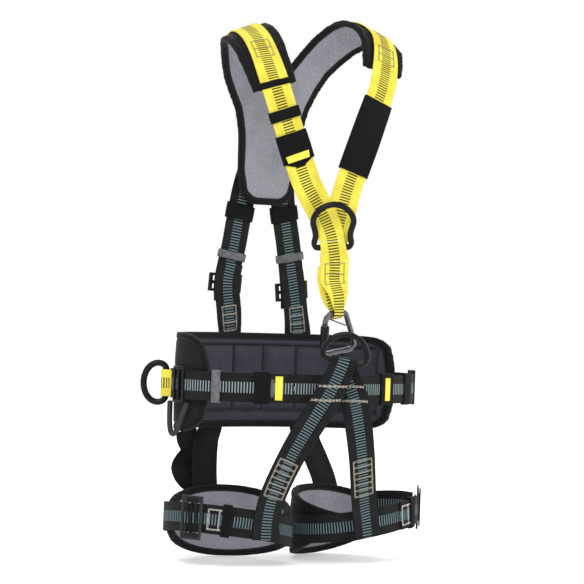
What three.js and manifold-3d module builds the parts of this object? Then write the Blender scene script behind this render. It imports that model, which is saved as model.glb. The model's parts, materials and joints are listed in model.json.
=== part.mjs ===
// A full-body safety harness with a padded work-positioning belt, standing in the shape it takes when worn.
//
// Frame: millimetres, +Z up, +X the wearer's left, -Y the wearer's front. The pieces are laid out about the
// centre of the waist, at the middle of the belt webbing's height. The whole is then moved so that the
// origin is the middle of the flat face at the dorsal plate's lower end.
// Most pieces come in a right (side -1) and a left (side +1) copy.
// Webbing is a box bent along a curve. Pads are wider, thicker boxes bent the same way.
// Rings are tori bent onto a closed outline. Each piece is one closed solid in its own named mesh.
import * as THREE from "three";
import { mergeVertices } from "three/addons/utils/BufferGeometryUtils.js";
import Module from "manifold-3d";

const wasm = await Module();
wasm.setup();

// ---------- driving dimensions ----------
const WEB_WIDTH = 45; // all load-bearing webbing
const WEB_THICK = 2.2;
const LAYER = 3; // centre-to-centre distance of two layers of webbing sewn together
const UNDER_BELT = -3.7; // webbing that runs between the belt webbing and the lumbar pad
const WAIST_HALF_WIDTH = 211; // outline that the belt webbing follows
const WAIST_HALF_DEPTH = 127;
const LUMBAR = {
  thick: 13,
  halfHeight: 77,
  tipShare: 0.35, // height of the pad's very ends, as a share of its full height
  centreZ: 3,
  centreAngle: 197, // round the waist, from the front centre
  reach: 99, // degrees from its centre to either end
  rounding: 0.14, // share of its length over which each end is rounded
};
const YOKE_THICK = 10;
const ARM_WIDTH = 84; // yoke arm over the shoulder
// The bar of the sternal ring, and how far the chest faces the wearer's right.
const CHEST = { x: -3, y: -112, barZ: 221, turn: 22 };
const METAL = 4.6; // radius of the ring and carabiner bar
const CARABINER_TOP = { x: 1, y: -124, z: 119, turn: 4, roll: 11, lean: 23 };
// The bar of the ventral ring, which hangs in the top of the risers.
const VENTRAL_FOOT = { x: 1.5, y: -151, z: 44, turn: 32, roll: -9 };
const BELT_ADJUSTER_ANGLE = 84; // from the front centre, on both sides
const SIDE_RING_ANGLE = 107;
const THIGH = { x: 110, y: -5, z: -215, halfWidth: 100, halfDepth: 92 };
const LEG_PAD = { thick: 11, centreZ: -222, from: 122, to: 332, outerEnd: 20, frontEnd: 9, belly: 42 };

// How each side hangs in use: the two shoulders and the two leg buckles settle differently.
const DRAPE = {
  "-1": {
    shoulder: [-104, 557],
    padEnd: [-104, -90, 466],
    back: [-46, -65, -55],
    leg: [-5, 15, 7],
    bulge: [112, 6],
    buckle: 62,
    gear: [-98, -76],
    ringSwing: 0,
  },
  1: {
    shoulder: [113, 574],
    padEnd: [102, -71, 505],
    back: [34, 60, 72],
    leg: [4, 17, 1],
    bulge: [80, 10],
    buckle: 74,
    gear: [117, 135],
    ringSwing: 74,
  },
};

// ---------- materials ----------
const finish = (color, roughness, metalness = 0) =>
  new THREE.MeshStandardMaterial({ color, roughness, metalness });
const YELLOW_WEB = finish(0xf2e33a, 0.75);
const BLACK_WEB = finish(0x26262b, 0.8);
const ELASTIC = finish(0x141416, 0.9);
const GREY_ELASTIC = finish(0x5a5a5e, 0.85);
const PAD = finish(0x2e2e34, 0.9);
const BLACK_METAL = finish(0x17181b, 0.35, 0.7);
const STEEL = finish(0xc9cbcd, 0.25, 1);
const PLASTIC = finish(0x121214, 0.5);
const RUBBER = finish(0x101012, 0.6);

const harness = new THREE.Group();
const SIDES = [
  ["right", -1],
  ["left", 1],
];

// ---------- vectors and curves ----------
const V = (x, y, z) => new THREE.Vector3(x, y, z);
const UP = V(0, 0, 1);
const DOWN = V(0, 0, -1);
const ACROSS = V(1, 0, 0);
const rad = THREE.MathUtils.degToRad;
const lerp = THREE.MathUtils.lerp;

// A smooth path through stations {p, a, w}: point, width direction, and width as a share of the full width.
function path(stations) {
  const points = new THREE.CatmullRomCurve3(stations.map((s) => s.p), false, "centripetal");
  const across = new THREE.CatmullRomCurve3(stations.map((s) => s.a), false, "catmullrom");
  const last = stations.length - 1;
  return (t) => {
    const step = 1e-3;
    const ahead = points.getPoint(Math.min(1, t + step));
    const tangent = ahead.sub(points.getPoint(Math.max(0, t - step))).normalize();
    const a = across.getPoint(t);
    a.addScaledVector(tangent, -a.dot(tangent)).normalize();
    const i = Math.min(last - 1, Math.floor(t * last));
    const w = lerp(stations[i].w ?? 1, stations[i + 1].w ?? 1, t * last - i);
    return { p: points.getPoint(t), t: tangent, a, n: tangent.clone().cross(a), w };
  };
}

// A station of a path.
const at = (p, a = ACROSS, w = 1) => ({ p, a, w });

// The width direction of webbing that faces the front, turned towards the wearer's right
// and rolled in its plane.
function facing(turn, roll = 0) {
  const level = Math.cos(rad(roll));
  return V(Math.cos(rad(turn)) * level, -Math.sin(rad(turn)) * level, Math.sin(rad(roll)));
}

// A point of the waist outline: angle in degrees from the front centre towards the wearer's left,
// out millimetres outside the outline, at height z.
function waist(angle, out, z) {
  const a = rad(angle);
  const outward = V(Math.sin(a) / WAIST_HALF_WIDTH, -Math.cos(a) / WAIST_HALF_DEPTH, 0).normalize();
  const p = V(WAIST_HALF_WIDTH * Math.sin(a), -WAIST_HALF_DEPTH * Math.cos(a), z);
  return p.addScaledVector(outward, out);
}

// A frame on the waist outline: width up, run towards the wearer's left, normal outwards.
function waistFrame(angle, out, z = 0) {
  const t = waist(angle + 0.5, out, z).sub(waist(angle - 0.5, out, z)).normalize();
  return { p: waist(angle, out, z), t, a: UP.clone(), n: t.clone().cross(UP) };
}

// A point of a thigh outline: angle in degrees from its front centre, positive to the outside of the leg.
function thigh(side, angle, out, up = 0) {
  const [bulgeAngle, bulgeOut] = DRAPE[side].bulge;
  const a = rad(angle);
  const fromBulge = ((((angle - bulgeAngle + 180) % 360) + 360) % 360) - 180;
  const bulge = bulgeOut * Math.exp(-((fromBulge / 38) ** 2));
  const outward = V((side * Math.sin(a)) / THIGH.halfWidth, -Math.cos(a) / THIGH.halfDepth, 0).normalize();
  const p = V(side * (THIGH.x + THIGH.halfWidth * Math.sin(a)), THIGH.y - THIGH.halfDepth * Math.cos(a), 0);
  p.addScaledVector(outward, out + bulge);
  const [settle, rise, front] = DRAPE[side].leg;
  p.z = THIGH.z + settle + rise * Math.sin(a) + front * Math.cos(a) + up;
  return p;
}

// A path round a thigh outline between two angles, with its normal outwards on both sides.
function thighPath(side, from, to, out, width = () => 1) {
  const stations = [];
  const count = Math.ceil(Math.abs(to - from) / 20);
  for (let i = 0; i <= count; i++) {
    const angle = lerp(from, to, i / count);
    const across = V(0, 0, side * Math.sign(to - from));
    stations.push(at(thigh(side, angle, out(angle)), across, width(i / count)));
  }
  return path(stations);
}

// ---------- solids ----------
// A box bent along a frame: across share -0.5..0.5, through the thickness -0.5..0.5, along 0..1.
function bent(frame, along, across, width, thick) {
  const g = new THREE.BoxGeometry(1, 1, 1, across, 1, along);
  const pos = g.attributes.position;
  for (let i = 0; i < pos.count; i++) {
    const t = pos.getZ(i) + 0.5;
    const f = frame(t);
    f.p.addScaledVector(f.a, pos.getX(i) * width(t, f)).addScaledVector(f.n, pos.getY(i) * thick(t, f));
    pos.setXYZ(i, f.p.x, f.p.y, f.p.z);
  }
  return g;
}

function add(name, geometry, material) {
  const mesh = new THREE.Mesh(geometry, material);
  mesh.name = name;
  harness.add(mesh);
  return mesh;
}

// A length of webbing along a path.
function webbing(name, frame, segments, material, width = WEB_WIDTH, thick = WEB_THICK) {
  return add(name, bent(frame, segments, 1, (t, f) => width * f.w, () => thick), material);
}

// A torus bent onto a closed outline in the XY plane, run anticlockwise. The bar is an oval.
function ringGeometry(outline, steps, radial, radiusIn, radiusAcross) {
  const g = new THREE.TorusGeometry(2, 1, radial, steps);
  const pos = g.attributes.position;
  for (let i = 0; i < pos.count; i++) {
    const x = pos.getX(i);
    const y = pos.getY(i);
    const turn = Math.atan2(y, x) / (2 * Math.PI) + 1;
    const u = (Math.round(turn * steps) % steps) / steps;
    const c = outline.getPointAt(u);
    const d = outline.getTangentAt(u);
    const side = (Math.hypot(x, y) - 2) * radiusIn;
    pos.setXYZ(i, c.x + d.y * side, c.y - d.x * side, pos.getZ(i) * radiusAcross);
  }
  return g;
}

// A closed outline in the XY plane through points given for one half, mirrored over the Y axis.
function mirroredOutline(half) {
  const right = half.map(([x, y]) => V(x, y, 0));
  const left = half.filter(([x]) => x > 0.5).reverse().map(([x, y]) => V(-x, y, 0));
  return new THREE.CatmullRomCurve3([...right, ...left], true, "centripetal");
}

// manifold-3d solids, for the few pieces that are joined or cut.
function toSolid(geometry) {
  const corners = geometry.index ? geometry.toNonIndexed() : geometry;
  const bare = new THREE.BufferGeometry();
  bare.setAttribute("position", corners.getAttribute("position"));
  const merged = mergeVertices(bare, 1e-3);
  return new wasm.Manifold(
    new wasm.Mesh({
      numProp: 3,
      vertProperties: new Float32Array(merged.attributes.position.array),
      triVerts: new Uint32Array(merged.index.array),
    }),
  );
}

function toGeometry(solid) {
  const mesh = solid.getMesh();
  const g = new THREE.BufferGeometry();
  g.setAttribute("position", new THREE.BufferAttribute(new Float32Array(mesh.vertProperties), 3));
  g.setIndex(new THREE.BufferAttribute(new Uint32Array(mesh.triVerts), 1));
  return g;
}

const join = (...parts) => toGeometry(parts.map(toSolid).reduce((a, b) => a.add(b)));
const cut = (body, ...tools) =>
  toGeometry(tools.map(toSolid).reduce((a, b) => a.subtract(b), toSolid(body)));
const box = (w, d, h, x = 0, y = 0, z = 0) => new THREE.BoxGeometry(w, d, h).translate(x, y, z);
const rod = (radius, length, sides = 10) => new THREE.CylinderGeometry(radius, radius, length, sides);

// Sets a mesh modelled about its own origin onto a frame: local X is the width, Y the outward normal
// and Z the run.
function seat(mesh, frame, out = 0) {
  mesh.quaternion.setFromRotationMatrix(new THREE.Matrix4().makeBasis(frame.a, frame.n, frame.t));
  mesh.position.copy(frame.p).addScaledVector(frame.n, out);
  return mesh;
}

// Sets a mesh modelled in its own XY plane (X right, Y up, Z towards the front) at a point,
// turned, rolled and leaned.
function hang(mesh, point, turn, roll = 0, lean = 0) {
  const right = facing(turn, roll);
  const front = V(-Math.sin(rad(turn)), -Math.cos(rad(turn)), 0);
  front.applyAxisAngle(right, rad(lean)).normalize();
  const up = front.clone().cross(right);
  mesh.quaternion.setFromRotationMatrix(new THREE.Matrix4().makeBasis(right, up, front));
  mesh.position.copy(point);
  return mesh;
}

// A flat tube of fabric round a strap, from one share of its path to another.
// Layers lie outwards of the path.
const KEEPER_PLAY = 2.4; // added to the strap's width and thickness inside a keeper
const KEEPER_WALL = 1.4;
function tubeOn(frame, from, to, segments, layers = 1) {
  const part = (start, end) => (t) => {
    const f = frame(lerp(start, end, t));
    f.p.addScaledVector(f.n, ((layers - 1) * LAYER) / 2);
    return f;
  };
  const inner = WEB_THICK + (layers - 1) * LAYER + KEEPER_PLAY;
  const wide = WEB_WIDTH + KEEPER_PLAY;
  const wall = 2 * KEEPER_WALL;
  const outside = bent(part(from, to), segments, 1, () => wide + wall, () => inner + wall);
  const past = (to - from) / 8;
  const inside = bent(part(from - past, to + past), segments, 1, () => wide, () => inner);
  return cut(outside, inside);
}

// The share of a path at which it is nearest to a height, searched between two shares.
function shareAtHeight(frame, z, from = 0, to = 1) {
  let best = from;
  for (let t = from; t <= to; t += 0.001) {
    if (Math.abs(frame(t).p.z - z) < Math.abs(frame(best).p.z - z)) best = t;
  }
  return best;
}

// A keeper of a given length centred on a share of a path.
function keeper(name, frame, share, length, material, layers = 1) {
  const step = 0.01;
  const speed = frame(share + step).p.distanceTo(frame(share - step).p) / (2 * step);
  const half = length / 2 / speed;
  const segments = Math.max(2, Math.round(length / 13));
  return add(name, tubeOn(frame, share - half, share + half, segments, layers), material);
}

// A three-bar slide: a flat frame with two slots, width across the strap, length along it.
function slideGeometry(width, length, thick, slot) {
  const slots = [-1, 1].map((s) => box(WEB_WIDTH + 2.4, thick * 2, slot, 0, 0, (s * (length - 4)) / 4));
  return cut(box(width, thick, length), ...slots);
}

// ---------- yoke: one pad with two arms that go over the shoulders ----------
function armPath(side) {
  const [shoulderX, shoulderZ] = DRAPE[side].shoulder;
  const { padEnd } = DRAPE[side];
  const slope = V(0.94, 0, -0.34 * side);
  return path([
    at(V(side * 5 - 6, 99, 298), ACROSS, 0.44),
    at(V(side * 17 - 6, 102, 319), ACROSS, 0.82),
    at(V(side * 21, 105, 404), ACROSS, 0.9),
    at(V(side * 34, 103, 458), V(0.97, 0, -0.25 * side), 0.88),
    at(V(side * 70, 89, shoulderZ - 51), V(0.82, -0.05 * side, -0.57 * side), 0.78),
    at(V(shoulderX - side * 12, 53, shoulderZ - 9), V(0.9, -0.08 * side, -0.42 * side), 0.85),
    at(V(shoulderX, 8, shoulderZ), slope, 1),
    at(V(shoulderX + side * 4, -40, shoulderZ - 23), slope, 1),
    at(V(...padEnd), facing(side < 0 ? 14 : 0, side < 0 ? 22 : -8), 0.84),
  ]);
}
const arms = Object.fromEntries(SIDES.map(([, side]) => [side, armPath(side)]));
const armSolid = (side) => bent(arms[side], 18, 2, (t, f) => ARM_WIDTH * f.w, () => YOKE_THICK);
add("yoke_pad", join(armSolid(-1), armSolid(1)), PAD);

// ---------- shoulder webbing: down the back of the yoke, over the shoulder, to the breastbone ----------
// A point on the outer face of a yoke arm, lifted clear of it.
function onArm(side, t, lift) {
  const f = arms[side](t);
  return at(f.p.addScaledVector(f.n, YOKE_THICK / 2 + lift), f.a);
}
const chestFront = facing(CHEST.turn).cross(UP); // unit vector out of the chest, towards the front
const chest = (right, out, z) =>
  V(CHEST.x, CHEST.y, z).addScaledVector(facing(CHEST.turn), right).addScaledVector(chestFront, out);

const LIFT = WEB_THICK / 2 + 2; // from a pad's face to the middle of webbing lying on it
const overBar = METAL + WEB_THICK / 2 + 0.9; // from a bar's axis to the middle of webbing folded round it
const onArms = (side, from, to, count, lift) =>
  Array.from({ length: count }, (_, i) => onArm(side, lerp(from, to, i / (count - 1)), lift));

// The right strap runs on in front of the ring's bar, round the carabiner's top bar
// and back up behind itself.
const barTop = V(CARABINER_TOP.x, CARABINER_TOP.y, CARABINER_TOP.z);
const loopPoint = (right, out, up) =>
  barTop.clone().addScaledVector(facing(CARABINER_TOP.turn), right).add(V(0, -out, up));
const IN_RING = 0.88; // width of webbing where it passes through a ring
const LOOP_SHARE = 0.34; // width of the webbing where it bunches up round the carabiner
const roundTop = (angle) => {
  const reach = overBar + 0.35;
  const p = loopPoint(0, reach * Math.cos(rad(angle)), -reach * Math.sin(rad(angle)));
  return at(p, facing(CARABINER_TOP.turn, CARABINER_TOP.roll), LOOP_SHARE);
};
const rightShoulder = path([
  ...onArms(-1, 0.3, 0.92, 11, LIFT),
  onArm(-1, 1, LIFT + 2),
  at(V(-94, -105, 425), facing(14)),
  at(V(-71, -106, 367), facing(18)),
  at(chest(-44, 7, 316), facing(20)),
  at(chest(-26, 3.2, 286), facing(22)),
  at(chest(-10, -0.5, 257), facing(22), 0.97),
  at(chest(-3, 1.8, 238), facing(22), 0.9),
  at(chest(0, overBar, CHEST.barZ), facing(22), IN_RING),
  at(chest(4, 1.7, 198), facing(22)),
  at(chest(4.5, 1.7, 168), facing(22), 0.97),
  at(loopPoint(-2, overBar + 0.5, 28), facing(30), 0.64),
  ...[-25, 20, 55, 90, 125, 160, 205].map(roundTop),
  at(loopPoint(-6, -overBar - 3, 26), facing(14), 0.68),
  at(chest(0, -1.7, 168), facing(22)),
  at(chest(1, -1.7, 189), facing(22)),
]);
const leftShoulder = path([
  ...onArms(1, 0.3, 0.92, 11, LIFT),
  onArm(1, 1, LIFT + 2),
  at(V(86, -98, 474), facing(0)),
  at(V(55, -107, 400), facing(6)),
  at(V(22, -109, 312), facing(14)),
  at(chest(11, -4, 266), facing(22)),
  at(chest(3, -overBar, CHEST.barZ), facing(22), IN_RING),
  at(chest(4, -1.7, 194), facing(22)),
]);
webbing("shoulder_webbing_right", rightShoulder, 62, YELLOW_WEB);
webbing("shoulder_webbing_left", leftShoulder, 40, YELLOW_WEB);

keeper("chest_keeper_right", rightShoulder, shareAtHeight(rightShoulder, 423, 0.36, 0.6), 17, ELASTIC);
keeper("chest_label_right", rightShoulder, shareAtHeight(rightShoulder, 372, 0.36, 0.6), 46, ELASTIC);
keeper("shoulder_sleeve_left", leftShoulder, shareAtHeight(leftShoulder, 401, 0.5, 1), 122, ELASTIC);

// ---------- sternal ring ----------
const STERNAL_HALF = [
  [0, 0],
  [20, 0],
  [29.5, 0.5],
  [30, 7],
  [27, 17],
  [28.5, 28],
  [32.5, 42],
  [27, 56],
  [15, 66],
  [0, 70],
];
const RING_STEPS = 26;
const STERNAL_STEPS = 34;
const RING_SIDES = 8;
const sternal = add(
  "sternal_ring",
  ringGeometry(mirroredOutline(STERNAL_HALF), STERNAL_STEPS, RING_SIDES, 4.1, 3.8),
  BLACK_METAL,
);
hang(sternal, chest(0, 0, CHEST.barZ), CHEST.turn, 3, 18);

// ---------- dorsal ring and plate, on the outside of the yoke between the shoulder blades ----------
const DORSAL = { y: 119, z: 386 }; // middle of the plate
const PLATE = { width: 64, thick: 4, height: 62, slotWidth: 52, slotHeight: 5, slotUp: 20 };
const plateSlots = [-1, 1].map((s) =>
  box(PLATE.slotWidth, 3 * PLATE.thick, PLATE.slotHeight, 0, 0, s * PLATE.slotUp),
);
const plateSolid = cut(box(PLATE.width, PLATE.thick, PLATE.height), ...plateSlots);
const dorsalPlate = add("dorsal_plate", plateSolid, PLASTIC);
dorsalPlate.position.set(0, DORSAL.y, DORSAL.z);
const DORSAL_HALF = [
  [0, 0],
  [18, 0],
  [25, 2],
  [29, 14],
  [28, 30],
  [19, 43],
  [0, 49],
];
const dorsalRing = add(
  "dorsal_ring",
  ringGeometry(mirroredOutline(DORSAL_HALF), RING_STEPS, RING_SIDES, 4, 3.8),
  BLACK_METAL,
);
dorsalRing.rotation.set(Math.PI / 2 - rad(8), 0, 0);
dorsalRing.position.set(0, DORSAL.y + 7, DORSAL.z + 2);

// ---------- back webbing: yoke to adjuster, adjuster to belt ----------
const BACKWARDS = V(-1, 0, 0); // width direction of webbing that faces the back as it runs down
const BACK_Y = 112.5; // middle of the upper back webbing, outside the yoke
const BACK_ADJUSTER_Z = { "-1": 160, 1: 150 };
function backPaths(side) {
  const [top, middle, foot] = DRAPE[side].back;
  const z = BACK_ADJUSTER_Z[side];
  const upper = path([
    at(V(side * 25, BACK_Y + 0.5, 358), BACKWARDS),
    at(V(side * 33 - 4, BACK_Y, 326), BACKWARDS),
    at(V(top, BACK_Y, 284), BACKWARDS),
    at(V(lerp(top, middle, 0.5), BACK_Y + 1.5, 222), BACKWARDS),
    at(V(middle, BACK_Y + 6, z), BACKWARDS),
    at(V(lerp(middle, foot, 0.2), BACK_Y + 7.6, z - 28), BACKWARDS),
  ]);
  const waistAngle = 180 - rad(1) ** -1 * Math.asin(foot / WAIST_HALF_WIDTH);
  const flat = waistFrame(waistAngle, 0).t;
  const lower = path([
    at(V(lerp(middle, top, 0.25), BACK_Y + 0.8, z + 32), BACKWARDS),
    at(V(middle, BACK_Y + 2, z), BACKWARDS),
    at(V(lerp(middle, foot, 0.6), BACK_Y + 3, 110), BACKWARDS),
    at(waist(waistAngle, UNDER_BELT, 78), flat),
    at(waist(waistAngle, UNDER_BELT, 50), flat),
    at(waist(waistAngle, UNDER_BELT, 2), flat),
  ]);
  return { upper, lower };
}
for (const [name, side] of SIDES) {
  const { upper, lower } = backPaths(side);
  webbing(`back_webbing_upper_${name}`, upper, 16, BLACK_WEB);
  webbing(`back_webbing_lower_${name}`, lower, 16, BLACK_WEB);
  keeper(`back_keeper_${name}`, upper, shareAtHeight(upper, 277), 26, ELASTIC);
  keeper(`back_elastic_${name}`, upper, shareAtHeight(upper, 205), 13, GREY_ELASTIC);
  const adjuster = add(`back_adjuster_${name}`, slideGeometry(60, 30, 3.6, 8), BLACK_METAL);
  seat(adjuster, upper(shareAtHeight(upper, BACK_ADJUSTER_Z[side])), 3.9);
}

// ---------- lumbar pad ----------
// Share of the pad's full height at a share of its length: constant, with rounded ends.
function roundedEnds(t, rounding, tip) {
  const s = Math.min(1, Math.min(t, 1 - t) / rounding);
  return lerp(tip, 1, (1 - (1 - s) ** 2.4) ** (1 / 2.4));
}
const lumbarOut = 2 * UNDER_BELT + WEB_THICK / 2 - LUMBAR.thick / 2;
const lumbarFrame = (t) => {
  const angle = LUMBAR.centreAngle + lerp(-LUMBAR.reach, LUMBAR.reach, t);
  return waistFrame(angle, lumbarOut, LUMBAR.centreZ);
};
const lumbarHeight = (t) => 2 * LUMBAR.halfHeight * roundedEnds(t, LUMBAR.rounding, LUMBAR.tipShare);
add("lumbar_pad", bent(lumbarFrame, 44, 2, lumbarHeight, () => LUMBAR.thick), PAD);

// ---------- waist belt ----------
const beltPath = (from, to, out) => {
  const count = Math.ceil((to - from) / 12);
  const station = (_, i) => at(waist(lerp(from, to, i / count), out, 0), UP);
  return path(Array.from({ length: count + 1 }, station));
};
const beltGap = 4; // degrees between the end of the webbing and the middle of a side adjuster
const backStart = BELT_ADJUSTER_ANGLE + beltGap;
const frontEnd = BELT_ADJUSTER_ANGLE - beltGap;
webbing("belt_webbing_back", beltPath(backStart, 360 - backStart, 0), 44, BLACK_WEB);
webbing("belt_webbing_front", beltPath(-frontEnd, frontEnd, 0), 40, BLACK_WEB);
const BELT_TAIL_TIP = -19;
const tailPath = beltPath(2 - frontEnd, BELT_TAIL_TIP, LAYER);
const tailWidth = (t) => WEB_WIDTH * Math.min(1, 0.12 + (1 - t) * 14);
add("belt_tail", bent(tailPath, 28, 1, tailWidth, () => WEB_THICK), BLACK_WEB);
const fullFront = beltPath(-BELT_ADJUSTER_ANGLE, BELT_ADJUSTER_ANGLE, 0);
const frontShare = (angle) => 0.5 + angle / (2 * BELT_ADJUSTER_ANGLE);
keeper("belt_elastic", fullFront, frontShare(-57), 13, GREY_ELASTIC, 2);
keeper("belt_keeper", fullFront, frontShare(-34), 24, ELASTIC, 2);
keeper("belt_label_left", fullFront, frontShare(30), 30, ELASTIC);
keeper("belt_keeper_left", fullFront, frontShare(50), 26, ELASTIC);

const SIDE_HALF = [
  [0, 0],
  [16, 0],
  [26, 2],
  [31, 11],
  [29, 22],
  [18, 32],
  [0, 36],
];
const SIDE_BAR_OUT = 6.6;
for (const [name, side] of SIDES) {
  const adjuster = add(`belt_adjuster_${name}`, slideGeometry(56, 26, 3.6, 7), BLACK_METAL);
  seat(adjuster, waistFrame(side * BELT_ADJUSTER_ANGLE, 0), 4.2);

  const ring = add(
    `side_ring_${name}`,
    ringGeometry(mirroredOutline(SIDE_HALF), RING_STEPS, RING_SIDES, 4.8, 4.2),
    BLACK_METAL,
  );
  const barFrame = waistFrame(side * SIDE_RING_ANGLE, SIDE_BAR_OUT);
  const outwards = barFrame.n.clone().applyAxisAngle(UP, rad(side * DRAPE[side].ringSwing));
  const throughBar = DOWN.clone().cross(outwards);
  ring.quaternion.setFromRotationMatrix(new THREE.Matrix4().makeBasis(DOWN, outwards, throughBar));
  ring.position.copy(barFrame.p);

  const loopStations = [
    [-10, 2.8],
    [-5.2, 3.4],
    [-3.6, SIDE_BAR_OUT],
    [-2.2, SIDE_BAR_OUT + overBar],
    [2.2, SIDE_BAR_OUT + overBar],
    [3.6, SIDE_BAR_OUT],
    [5.2, 3.4],
    [10, 2.8],
  ].map(([angle, out]) => at(waist(side * SIDE_RING_ANGLE + angle, out, 0), UP));
  webbing(`side_ring_loop_${name}`, path(loopStations), 28, YELLOW_WEB, WEB_WIDTH - 3);

  const [from, to] = DRAPE[side].gear;
  const depths = [-28, -52, -72, -79, -72, -52, -28];
  const loopPath = new THREE.CatmullRomCurve3(
    depths.map((z, i) => waist(lerp(from, to, i / 6), 2.5 + 5 * Math.sin((i / 6) * Math.PI), z)),
    false,
    "centripetal",
  );
  const section = new THREE.Shape().absarc(0, 0, 3.8, 0, 2 * Math.PI);
  const tube = new THREE.ExtrudeGeometry(section, {
    steps: 20,
    curveSegments: 8,
    bevelEnabled: false,
    extrudePath: loopPath,
  });
  add(`gear_loop_${name}`, tube, RUBBER);
}

// ---------- carabiner ----------
const CARABINER = [
  [0, 0],
  [-8, 0],
  [-16, -4],
  [-19, -13],
  [-19, -30],
  [-19, -50],
  [-19, -64],
  [-17, -69],
  [-9, -69.5],
  [4, -68.5],
  [16, -68.5],
  [27, -68.5],
  [33, -65],
  [34, -57],
  [28, -36],
  [20, -13],
  [15, -3],
  [8, 0],
];
const GATE_X = -19;
const GATE_TOP = -17;
const HINGE_Y = -66;
const SLEEVE = { inner: 5.1, outer: 7, top: -20, length: 38.5 };
const onCarabiner = (mesh) => hang(mesh, barTop, CARABINER_TOP.turn, CARABINER_TOP.roll, CARABINER_TOP.lean);
const carabinerPoints = CARABINER.map(([x, y]) => V(x, y, 0));
const carabinerOutline = new THREE.CatmullRomCurve3(carabinerPoints, true, "centripetal");
const crossRod = (radius, length, x, y) => rod(radius, length, 12).rotateX(Math.PI / 2).translate(x, y, 0);
const gateRoom = box(14, GATE_TOP - HINGE_Y - 4, 14, GATE_X, (GATE_TOP + HINGE_Y + 4) / 2, 0);
const tongueSlot = box(11, 12, 3.8, GATE_X, HINGE_Y, 0);
const carabinerBody = cut(
  ringGeometry(carabinerOutline, 44, RING_SIDES, METAL, METAL),
  gateRoom,
  tongueSlot,
  crossRod(1.9, 14, GATE_X, HINGE_Y),
);
onCarabiner(add("carabiner_body", carabinerBody, STEEL));

const gateLength = GATE_TOP - HINGE_Y - 7;
const gateBar = rod(4, gateLength, 12).translate(GATE_X, GATE_TOP - 0.5 - gateLength / 2, 0);
const tongue = box(6, 13, 2.8, GATE_X, HINGE_Y + 3, 0);
const springBore = rod(2.4, 16, 12).translate(GATE_X, GATE_TOP - 4, 0);
const gate = cut(join(gateBar, tongue), crossRod(1.9, 14, GATE_X, HINGE_Y), springBore);
onCarabiner(add("carabiner_gate", gate, STEEL));
onCarabiner(add("gate_rivet", crossRod(1.5, 8.6, GATE_X, HINGE_Y), STEEL));

const coil = new THREE.Curve();
coil.getPoint = (t) => V(1.5 * Math.cos(t * 8 * Math.PI), t * 9, 1.5 * Math.sin(t * 8 * Math.PI));
const wire = new THREE.Shape().absarc(0, 0, 0.35, 0, 2 * Math.PI);
const springGeometry = new THREE.ExtrudeGeometry(wire, {
  steps: 48,
  curveSegments: 4,
  bevelEnabled: false,
  extrudePath: coil,
}).translate(GATE_X, GATE_TOP - 11, 0);
onCarabiner(add("gate_spring", springGeometry, STEEL));

const { inner, outer, top, length } = SLEEVE;
const sleeveProfile = [
  [inner, 0],
  [outer - 0.8, 0],
  [outer, 2],
  [outer, length - 2],
  [outer - 0.8, length],
  [inner, length],
  [inner, 0],
].map(([x, y]) => new THREE.Vector2(x, y));
const sleeve = new THREE.LatheGeometry(sleeveProfile, 14).translate(GATE_X, top - length, 0);
onCarabiner(add("screw_sleeve", sleeve, BLACK_METAL));

const pinFrom = V(-12, -8.5, 0);
const pinTo = V(18.1, -25, 0);
const pin = rod(1.1, pinFrom.distanceTo(pinTo), 8);
pin.rotateZ(Math.atan2(pinTo.y - pinFrom.y, pinTo.x - pinFrom.x) - Math.PI / 2);
pin.translate((pinFrom.x + pinTo.x) / 2, (pinFrom.y + pinTo.y) / 2, 0);
onCarabiner(add("captive_pin", pin, STEEL));

// ---------- ventral ring ----------
const VENTRAL_HALF = [
  [0, 0],
  [23, 0],
  [31.5, 1.5],
  [35, 8],
  [32.5, 21],
  [23, 34.5],
  [11, 41],
  [0, 43],
];
const VENTRAL_BAR = 4.1;
const ventralGeometry = ringGeometry(
  mirroredOutline(VENTRAL_HALF),
  RING_STEPS,
  RING_SIDES,
  VENTRAL_BAR,
  VENTRAL_BAR,
);
const ventralFoot = V(VENTRAL_FOOT.x, VENTRAL_FOOT.y, VENTRAL_FOOT.z);
const ventral = add("ventral_ring", ventralGeometry, BLACK_METAL);
hang(ventral, ventralFoot, VENTRAL_FOOT.turn, VENTRAL_FOOT.roll, 0);

// ---------- risers: one strap, from the right leg up through the ventral ring to the left leg ----------
const footAcross = facing(VENTRAL_FOOT.turn, VENTRAL_FOOT.roll);
const footFront = facing(VENTRAL_FOOT.turn).cross(UP);
const footUp = footFront.clone().cross(footAcross);
const foot = (out, up, right = 0) =>
  ventralFoot
    .clone()
    .addScaledVector(footFront, out)
    .addScaledVector(footUp, up)
    .addScaledVector(footAcross, right);
const barGap = VENTRAL_BAR + WEB_THICK / 2 + 1.4;
// The plane of the risers' feet, in front of the leg webbing.
const legFront = THIGH.y - THIGH.halfDepth - WEB_THICK - 2;
const risers = path([
  at(V(-99, legFront, -236), facing(4)),
  at(V(-98, legFront - 1, -205), facing(4)),
  at(V(-94, legFront - 7, -172), facing(6)),
  at(V(-72, -125, -106), facing(10)),
  at(V(-44, -141, -47), facing(18)),
  at(V(-22, -148, -8), facing(30)),
  at(foot(barGap + 1, -6, -1), footAcross, 0.9),
  at(foot(barGap, 1), footAcross, IN_RING),
  at(foot(0, barGap), footAcross, IN_RING),
  at(foot(-barGap - 0.4, 0), footAcross, IN_RING),
  at(foot(-barGap - 1.2, -8, 0), footAcross, 0.9),
  at(V(25, -145, -12), facing(22)),
  at(V(38, -139, -48), facing(12)),
  at(V(55, -127, -107), facing(4)),
  at(V(73, legFront - 7, -176), facing(0)),
  at(V(81, legFront - 1, -205), facing(-2)),
  at(V(86, legFront, -236), facing(-2)),
]);
webbing("riser_webbing", risers, 60, BLACK_WEB);

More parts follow.
